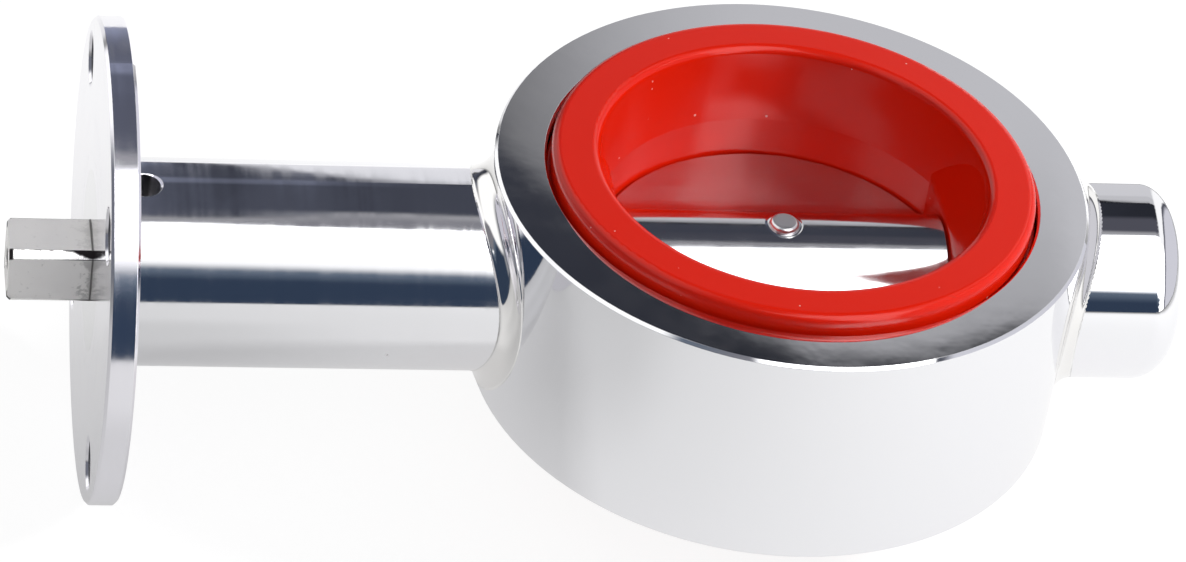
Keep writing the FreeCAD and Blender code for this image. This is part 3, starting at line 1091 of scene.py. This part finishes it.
    def front(self, sketch: NodeSketch, x: Socket, pitch: Socket, shown: Socket) -> Socket:
        """What follows past the ceiling: the dim strip, the lit screen and the dark band.

        Args:
            sketch: the world's nodes.
            x: the direction's x part.
            pitch: the direction's pitch.
            shown: the colour without them.

        Returns:
            The colour with them.
        """
        past = sketch.math("SUBTRACT", pitch, sketch.curve(x, self.strip_from))
        first, last = grey(*self.strip_first), grey(*self.strip_last)
        strip = sketch.mix(sketch.step(past, *self.strip_fall), first, last)
        shown = sketch.mix(sketch.step(past, *self.strip_soft), shown, strip)
        past = sketch.math("SUBTRACT", pitch, sketch.curve(x, self.screen_from))
        level = sketch.step(pitch, *self.screen_fall, *self.screen_levels)
        level = sketch.blend(sketch.step(x, *self.screen_right_x), level, self.screen_right)
        shown = sketch.mix(sketch.step(past, *self.screen_soft), shown, sketch.joined(level, level, level))
        past = sketch.math("SUBTRACT", pitch, sketch.curve(x, self.band_from))
        shown = sketch.mix(sketch.step(past, *self.band_edge_soft), shown, (*self.band_edge, 1.0))
        return sketch.mix(sketch.step(past, *self.band_soft), shown, (*self.band, 1.0))

    def cards(self, sketch: NodeSketch, x: Socket, pitch: Socket, shown: Socket) -> Socket:
        """Lay the white cards at both ends of x over the rest, and what lies past them.

        Args:
            sketch: the world's nodes.
            x: the direction's x part.
            pitch: the direction's pitch.
            shown: the colour without them.

        Returns:
            The colour with them.
        """
        level = sketch.step(pitch, *self.right_card_rise, *self.right_card_levels)
        shown = sketch.mix(sketch.step(x, *self.right_card_x), shown, sketch.joined(level, level, level))
        shown = sketch.mix(sketch.step(x, *self.right_line_x), shown, (*self.right_line, 1.0))
        shown = sketch.mix(sketch.step(x, *self.right_end_x), shown, (*self.right_end, 1.0))
        left = sketch.math("SUBTRACT", x, sketch.curve(pitch, self.left_card_edge))
        card = (self.left_card, self.left_card, self.left_card, 1.0)
        shown = sketch.mix(sketch.fade(left, *self.left_card_soft), shown, card)
        return sketch.mix(sketch.fade(x, *self.left_end_x), shown, (*self.left_end, 1.0))


@dataclass(frozen=True)
class Lamp:
    """A soft rectangular lamp that shines at the valve's middle."""

    name: str
    place: tuple[float, float, float]
    size: tuple[float, float]
    watts: float

    def build(self) -> None:
        """Make the lamp, hidden from reflections because the surround has its own screen."""
        data = bpy.data.lights.new(self.name, "AREA")
        data.shape = "RECTANGLE"
        data.size, data.size_y = self.size
        data.energy = self.watts
        lamp = linked(self.name, data)
        lamp.location = self.place
        lamp.rotation_mode = "QUATERNION"
        lamp.rotation_quaternion = (-Vector(self.place)).to_track_quat("-Z", "Y")
        lamp.visible_glossy = False


def matt(sketch: NodeSketch, lit: float, own: object) -> Socket:
    """A matt white that is partly lit and partly shines by itself.

    Args:
        sketch: the nodes of the material.
        lit: the share of light that it sends back.
        own: how strongly it shines.

    Returns:
        The shader.
    """
    catching = sketch.node("ShaderNodeBsdfDiffuse", {"Color": (lit, lit, lit, 1.0)})
    shining = sketch.node("ShaderNodeEmission", {"Color": WHITE, "Strength": own})
    return sketch.node("ShaderNodeAddShader", {0: catching.outputs[0], 1: shining.outputs[0]}).outputs[0]


@dataclass(frozen=True)
class Floor:
    """The pale floor under the lowest point of the valve, nearly white to the eye.

    Polished steel sees it another way, in painted light and shade: paler to the right and behind, with
    a painted shadow under the neck, dimmer far out, and dark past its front end, which slants and
    runs out towards the right.
    """

    dark: Colour
    half: float = 4.0
    seen_lit: float = 0.17
    seen_own: float = 0.90
    plain_lit: float = 0.5
    mirrored_lit: float = 0.25
    rightwards: Span = (-0.25, 0.2)
    right_levels: Span = (0.43, 0.82)
    behind: Span = (0.0, 0.12)
    behind_more: float = 0.25
    neck_y: float = 0.045
    neck_beside: Span = (0.02, 0.07)
    neck_x: Span = (-0.10, -0.06)
    neck_less: float = 0.10
    far_out: Span = (0.28, 0.60)
    far_share: float = 0.3
    slant: float = 0.15
    right_of: Span = (0.0, 0.08)
    beyond_all: float = 9.0
    end: Span = (-0.42, -0.36)

    def build(self) -> None:
        """Make the floor, which is no piece of the valve."""
        low = cad_box[0].z
        half = self.half
        corners = [(-half, -half, low), (half, -half, low), (half, half, low), (-half, half, low)]
        mesh = bpy.data.meshes.new("floor")
        mesh.from_pydata(corners, [], [(0, 1, 2, 3)])
        floor = linked("floor", mesh)
        material = bpy.data.materials.new("floor_white")
        material.use_nodes = True
        material.node_tree.nodes.clear()
        sketch = NodeSketch(material.node_tree)
        plain = matt(sketch, self.plain_lit, 0.0)
        seen = matt(sketch, self.seen_lit, self.seen_own)
        sketch.node("ShaderNodeOutputMaterial", {0: sketch.by_ray(plain, self.mirrored(sketch), seen)})
        mesh.materials.append(material)

    def mirrored(self, sketch: NodeSketch) -> Socket:
        """The floor as polished steel sees it, in painted light and shade.

        Args:
            sketch: the material's nodes.

        Returns:
            The shader.
        """
        x, y, _ = sketch.parts(sketch.node("ShaderNodeTexCoord").outputs["Object"])
        # painted light: paler to the right and behind
        level = sketch.step(x, *self.rightwards, *self.right_levels)
        level = sketch.math("ADD", level, sketch.step(y, *self.behind, 0.0, self.behind_more))
        # painted shadow of the neck on the floor, seen only in reflections
        beside = sketch.size(sketch.math("ADD", y, self.neck_y))
        neck_shadow = sketch.step(beside, *self.neck_beside, self.neck_less, 0.0)
        neck_shadow = sketch.product(neck_shadow, sketch.fade(x, *self.neck_x))
        level = sketch.math("SUBTRACT", level, neck_shadow)
        level = sketch.product(level, sketch.step(sketch.size(x), *self.far_out, 1.0, self.far_share))
        dark = sketch.node("ShaderNodeEmission", {"Color": (*self.dark, 1.0), "Strength": 1.0}).outputs[0]
        drift = sketch.math("MULTIPLY_ADD", y, self.slant, x)
        onward = sketch.math("ADD", y, sketch.step(drift, *self.right_of, 0.0, self.beyond_all))
        return sketch.shader(sketch.step(onward, *self.end), dark, matt(sketch, self.mirrored_lit, level))


@dataclass(frozen=True)
class Studio:
    """The floor, the room that polished steel mirrors, and the lamps."""

    ambient: float = 0.33
    surround: Surround = field(default_factory=Surround)
    lamps: tuple[Lamp, ...] = (
        Lamp("key", (0.95, -0.20, 0.80), (0.25, 0.25), 15.5),
        Lamp("fill", (-0.5, -0.9, 1.0), (0.9, 0.9), 3.0),
    )

    def build(self) -> None:
        """Make the floor, the world and the lamps."""
        Floor(self.surround.band).build()
        self.world()
        for lamp in self.lamps:
            lamp.build()
        bpy.context.scene.view_settings.view_transform = "Standard"

    def world(self) -> None:
        """White to the eye, even to matt surfaces, and a studio with dark parts to polished steel."""
        world = bpy.data.worlds.new("studio")
        bpy.context.scene.world = world
        world.use_nodes = True
        world.node_tree.nodes.clear()
        sketch = NodeSketch(world.node_tree)
        direction = sketch.node("ShaderNodeTexCoord").outputs["Generated"]
        even = self.light(sketch, WHITE, self.ambient)
        mirrored = self.light(sketch, self.surround.colour(sketch, direction), 1.0)
        seen = self.light(sketch, WHITE, 1.0)
        sketch.node("ShaderNodeOutputWorld", {0: sketch.by_ray(even, mirrored, seen)})

    @staticmethod
    def light(sketch: NodeSketch, colour: object, strength: float) -> Socket:
        """Light of a colour from the world."""
        return sketch.node("ShaderNodeBackground", {"Color": colour, "Strength": strength}).outputs[0]


def closed_skin(name: str, sections: np.ndarray, sharp_degrees: float = 25.0) -> bpy.types.Object:
    """Join closed sections that follow each other in a loop into one skin.

    Args:
        name: the new object's name.
        sections: places, by section, by corner of the section and by axis.
        sharp_degrees: edges that turn more than this stay sharp.

    Returns:
        The object, linked to the scene.
    """
    count, corners = sections.shape[:2]
    number = np.arange(count * corners).reshape(count, corners)
    onward = np.roll(number, -1, axis=0)
    quads = np.stack(
        [number, onward, np.roll(onward, -1, axis=1), np.roll(number, -1, axis=1)], axis=-1
    ).reshape(-1, 4)
    mesh = bpy.data.meshes.new(name)
    mesh.from_pydata(sections.reshape(-1, 3).tolist(), [], quads.tolist())
    mesh.validate()
    mesh.shade_smooth()
    mesh.set_sharp_from_angle(angle=math.radians(sharp_degrees))
    return linked(name, mesh)


ACROSS_PIPE = np.array([1.0, 1.0, 0.0])
ALONG_PIPE = np.array([0.0, 0.0, 1.0])
NEARLY_NONE = 1e-9


@dataclass(frozen=True)
class WeldBead:
    """The hollow weld where a round branch stands on the ring.

    Its face is what a ball leaves that rolls along the seam and touches both: at each turn round
    the branch the ball's centre lies its own radius outside both cylinders, and the face is the arc
    from one touching point to the other. The bead is cut level where the ring's bevels start. Its
    back runs down the ring from the face's end to the seam itself.
    """

    node: str
    branch: str
    side: Side
    bevel: float = 0.5 * MM
    turns: int = 360
    steps: int = 28
    backs: int = 6

    def sections(self) -> np.ndarray:
        """Work out the bead's closed sections.

        Returns:
            Places, by turn round the branch, by corner of the section and by axis.
        """
        ring_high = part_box("body_ring")[1]
        ring = ring_high.x
        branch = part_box(self.branch)[1].y
        bead_low, bead_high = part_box(self.node)
        side = self.side.value
        tip = bead_high.x if self.side is Side.BOSS else -bead_low.x
        ball = tip - ring
        level = ring_high.z - self.bevel
        turn = np.linspace(0.0, 2.0 * np.pi, self.turns, endpoint=False)
        turn = turn + 0.5 * (turn[1] - turn[0])
        out = np.stack([np.zeros_like(turn), np.sin(turn), np.cos(turn)], axis=-1)
        centre = out * (branch + ball)
        centre[:, 0] = side * np.sqrt((ring + ball) ** 2 - centre[:, 1] ** 2)
        face = self.face(out, centre, ring, ball, level)
        last = face[:, -1]
        flat = np.hypot(last[:, 0], last[:, 1])[:, None]
        edge = last * ACROSS_PIPE * (ring / flat) + last * ALONG_PIPE
        root = out * branch
        root[:, 0] = side * np.sqrt(ring**2 - root[:, 1] ** 2)
        down = np.linspace(0.0, 1.0, self.backs)[None, :, None]
        back = edge[:, None] * (1.0 - down) + root[:, None] * down
        wide = np.hypot(back[..., 0], back[..., 1])[..., None]
        back = back * np.where(ACROSS_PIPE > 0.0, ring / wide, 1.0)
        sections = np.concatenate([face, back], axis=1)
        return sections if self.side is Side.BOSS else sections[::-1]

    def face(
        self, out: np.ndarray, centre: np.ndarray, ring: float, ball: float, level: float
    ) -> np.ndarray:
        """The hollow face, as one arc at each turn round the branch.

        Args:
            out: the way out from the branch's axis at each turn.
            centre: the ball's centre at each turn.
            ring: the ring's radius.
            ball: the ball's radius.
            level: the height along the pipe, up and down, at which the bead is cut.

        Returns:
            Places, by turn, by step along the arc and by axis.
        """
        to_branch = -out
        to_ring = -centre * ACROSS_PIPE / (ring + ball)
        sweep = np.arccos(np.sum(to_branch * to_ring, axis=-1))
        sine = np.sin(sweep)
        over = np.abs(centre[:, 2]) > level
        reach = (np.abs(centre[:, 2]) - level) / (ball * np.abs(out[:, 2]).clip(NEARLY_NONE)) * sine
        cut = 1.0 - np.arcsin(reach.clip(-1.0, 1.0)) / sweep
        end = np.where(over, cut, 1.0)
        share = np.linspace(0.0, 1.0, self.steps)[None, :] * end[:, None]
        near = (np.sin((1.0 - share) * sweep[:, None]) / sine[:, None])[..., None]
        far = (np.sin(share * sweep[:, None]) / sine[:, None])[..., None]
        return centre[:, None] + ball * (near * to_branch[:, None] + far * to_ring[:, None])

    def build(self) -> bpy.types.Object:
        """Make the bead in place of its CAD node.

        Returns:
            The bead's object.
        """
        bead = closed_skin(f"{self.node}_bead", self.sections())
        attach(bead, "valve_body")
        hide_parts(self.node)
        return bead


@dataclass
class SubAssembly:
    """Frame nodes that are dressed together, each with its finish."""

    finishes: dict[str, Finish]
    made: list[bpy.types.Object] = field(default_factory=list)

    def dress(self, materials: dict[str, bpy.types.Material]) -> None:
        """Give each node its finish.

        Args:
            materials: the materials made so far, by the finish's name. New ones are added.
        """
        for name, finish in self.finishes.items():
            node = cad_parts[name]
            node.data.materials.clear()
            node.data.materials.append(self.material(finish, materials))

    @staticmethod
    def material(finish: Finish, materials: dict[str, bpy.types.Material]) -> bpy.types.Material:
        """The material of a finish, made once.

        Args:
            finish: the finish.
            materials: the materials made so far, by the finish's name. A new one is added.

        Returns:
            The material.
        """
        if finish.name not in materials:
            materials[finish.name] = finish.build()
        return materials[finish.name]


@dataclass
class WeldedBody(SubAssembly):
    """The ring with its neck, flange and boss, welded and polished as one."""

    finishes: dict[str, Finish] = field(
        default_factory=lambda: {
            "body_ring": MIRROR,
            "neck_tube": TUBE,
            "actuator_flange": FACE,
            "flange_weld": FACE,
            "neck_weld": WELD,
            "blind_boss": MIRROR,
            "boss_weld": WELD,
        }
    )
    beads: tuple[WeldBead, ...] = (
        WeldBead("neck_weld", "neck_tube", Side.NECK),
        WeldBead("boss_weld", "blind_boss", Side.BOSS),
    )

    def dress(self, materials: dict[str, bpy.types.Material]) -> None:
        """Give each node its finish and lay the weld beads.

        Args:
            materials: the materials made so far, by the finish's name. New ones are added.
        """
        super().dress(materials)
        for bead in self.beads:
            made = bead.build()
            made.data.materials.append(self.material(WELD, materials))
            self.made.append(made)


@dataclass
class SoftParts(SubAssembly):
    """The seat, the stem's seals and its bearings."""

    finishes: dict[str, Finish] = field(
        default_factory=lambda: {
            "seat": SILICONE,
            "neck_bush_upper": FLUOROPOLYMER,
            "neck_bush_lower": FLUOROPOLYMER,
            "boss_bush": FLUOROPOLYMER,
            "thrust_pad": FLUOROPOLYMER,
            "stem_wiper": ELASTOMER,
            "stem_o_ring_upper": ELASTOMER,
            "stem_o_ring_lower": ELASTOMER,
            "stem_o_ring_boss": ELASTOMER,
        }
    )


@dataclass
class DriveLine(SubAssembly):
    """What turns: the stem, the disc and the pin that joins them."""

    finishes: dict[str, Finish] = field(
        default_factory=lambda: {"stem": MILLED, "disc": DISC, "disc_pin": PIN}
    )


def main() -> None:
    """Build the studio, the camera and every piece."""
    logging.basicConfig(level=logging.INFO, format="%(message)s")
    Studio().build()
    PhotoCamera().build()
    materials: dict[str, bpy.types.Material] = {}
    for assembly in (WeldedBody(), SoftParts(), DriveLine()):
        assembly.dress(materials)
        name = type(assembly).__name__
        for node, finish in assembly.finishes.items():
            log.info("%s: %s in %s", name, node, finish.name)
        for piece in assembly.made:
            log.info("%s: %s is a new piece", name, piece.name)


if __name__ == "__main__":
    main()
